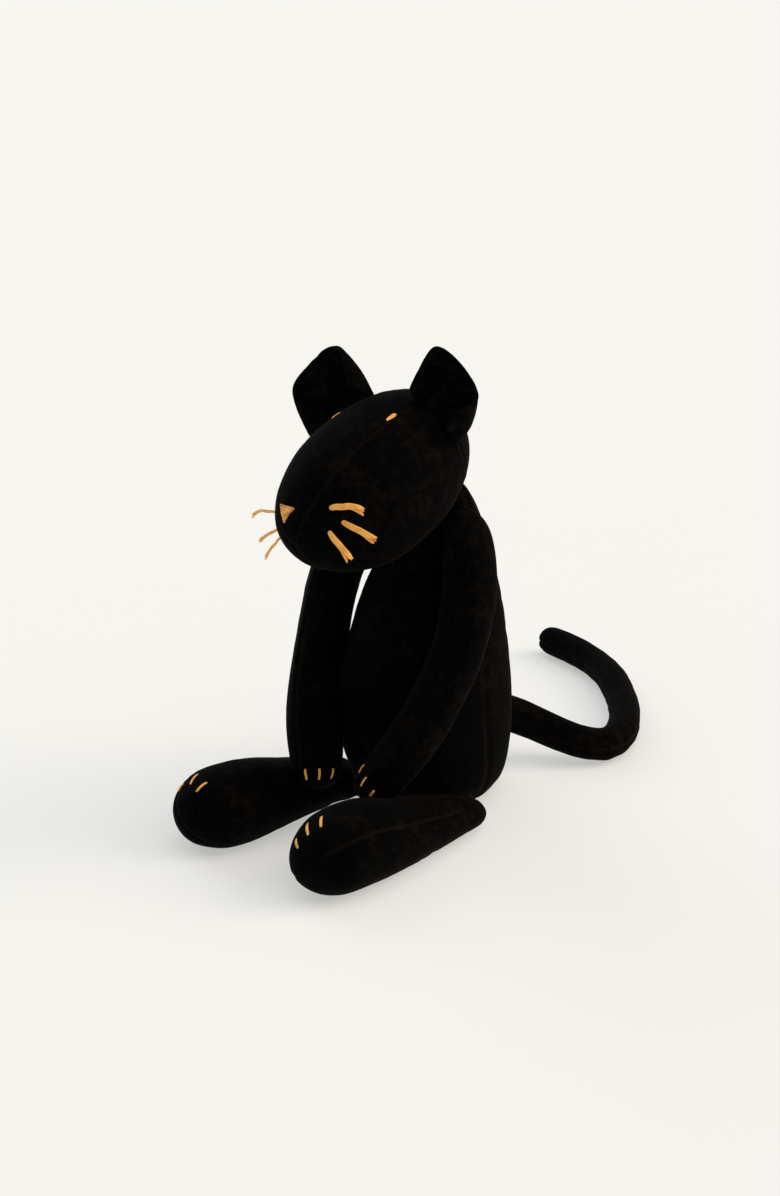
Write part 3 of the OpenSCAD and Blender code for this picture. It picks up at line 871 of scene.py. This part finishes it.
# %% Whiskers: short tufts whose cut ends fray into a fan
def centre_line(node, rings=7):
    co = np.array([v.co for v in nodes[node].data.vertices])
    co = np.unique(co.round(6), axis=0)
    far = np.linalg.norm(co - co.mean(0), axis=1).argmax()
    other = np.linalg.norm(co - co[far], axis=1).argmax()
    axis = co[other] - co[far]
    order = np.argsort((co - co[far]) @ axis)
    line = [Vector(co[part].mean(0)) for part in np.array_split(order, rings)]
    root_last = head_skin.find_nearest(line[-1])[3] < head_skin.find_nearest(line[0])[3]
    return line[::-1] if root_last else line


def whisker(name, node, width, strands=18, curl=0.0):
    path = centre_line(node)
    near, normal, _, _ = head_skin.find_nearest(path[0])
    path[0] = near - normal * 1.5 * MM
    lines = []
    for k in range(strands):
        angle = 2.4 * k
        reach = (0.35 + 0.65 * ((k * 7) % strands) / strands) ** 0.5
        rnd = [noise.noise(Vector((k * 3.1 + j * 5.7, len(name) * 0.9 + j, j * 2.2))) for j in range(3)]
        end = 0.93 + 0.10 * rnd[0]
        line = []
        for i in range(17):
            t = i / 16 * end
            s = t * (len(path) - 1)
            a = min(int(s), len(path) - 2)
            centre = path[a].lerp(path[a + 1], s - a)
            along = (path[a + 1] - path[a]).normalized()
            side = along.cross(normal).normalized()
            up = side.cross(along)
            bell = 0.30 + 0.10 * math.sin(math.pi * t) + 0.42 * max(t - 0.55, 0) ** 1.3 / 0.45 ** 1.3
            turn = angle + 2.6 * t
            fray = width * 0.5 * max(t - 0.7, 0)
            off = width * bell * reach * math.cos(turn) + rnd[1] * fray
            lift = 0.55 * width * bell * reach * math.sin(turn) + rnd[2] * fray
            droop = Vector((0, 0, -curl)) * max(t - 0.5, 0) ** 2 * 4
            radius = width * (0.115 if t < 0.9 * end else 0.085)
            line.append((centre + side * off + up * lift + droop, radius))
        lines.append(line)
    strand_mesh(name, lines, node, "head", sides=2)
    print(name, round(sum((p - q).length for p, q in zip(path, path[1:])) * 1000), "mm long")


for side, width in (("left", 4.2 * MM), ("right", 2.2 * MM)):
    for place, curl in (("upper", 2.5 * MM), ("middle", 0.5 * MM), ("lower", 0.0)):
        whisker(side + "_" + place + "_tuft", side + "_whisker_" + place, width, curl=curl)

# %% [markdown]
# ## Floor and light
# A wide pale floor, a soft sky and three large lamps. The warm lamp is on the toy's left and the cool one on
# its right, so the pile picks up a brown edge on one side and a faint blue one on the other.

# %% Floor
def make_floor():
    m, tree, shader, coords = add_material("pale_floor")
    cloud = add_noise(tree, coords, 3, 2, 0.5)
    colour = add_mix(tree, cloud, (0.44, 0.436, 0.42), (0.45, 0.446, 0.43))
    tree.links.new(colour, shader.inputs["Base Color"])
    shader.inputs["Emission Color"].default_value = (0.93, 0.921, 0.887, 1)
    shader.inputs["Emission Strength"].default_value = 0.475
    shader.inputs["Roughness"].default_value = 0.9
    shader.inputs["Specular IOR Level"].default_value = 0.1
    bm = bmesh.new()
    bmesh.ops.create_circle(bm, cap_ends=True, radius=30, segments=64)
    bmesh.ops.translate(bm, verts=bm.verts, vec=(0, 0, -0.0004))
    floor = mesh_object("floor", bm)
    floor.data.materials.append(m)
    floor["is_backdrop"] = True


make_floor()


# %% Lamps and sky
def add_lamp(name, direction, spread, strength, colour):
    """A far, broad lamp. direction points from the toy to the lamp, and spread is its width in degrees."""
    data = bpy.data.lights.new(name, "SUN")
    data.angle = math.radians(spread)
    data.energy = strength
    data.color = colour
    lamp = bpy.data.objects.new(name, data)
    lamp.rotation_mode = "QUATERNION"
    lamp.rotation_quaternion = (-Vector(direction)).to_track_quat("-Z", "Y")
    scene.collection.objects.link(lamp)


world = bpy.data.worlds.new("studio")
scene.world = world
world.use_nodes = True
world.node_tree.nodes["Background"].inputs["Color"].default_value = (0.95, 0.95, 0.94, 1)
world.node_tree.nodes["Background"].inputs["Strength"].default_value = 0.5
add_lamp("warm_side", (0.75, 0.75, 0.6), 40, 1.9, (1.0, 0.82, 0.68))
add_lamp("cool_side", (-0.9, 0.15, 0.5), 40, 0.9, (0.62, 0.84, 1.0))
add_lamp("overhead", (0.3, 0.1, 1.0), 60, 0.8, (1.0, 0.99, 0.97))
scene.view_settings.view_transform = "Standard"
scene.view_settings.look = "None"
print("lamps", len(bpy.data.lights))

visual_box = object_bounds()
for label, box in (("cad box", cad_box), ("visual box", visual_box)):
    print(label, [[round(c, 4) for c in p] for p in box])
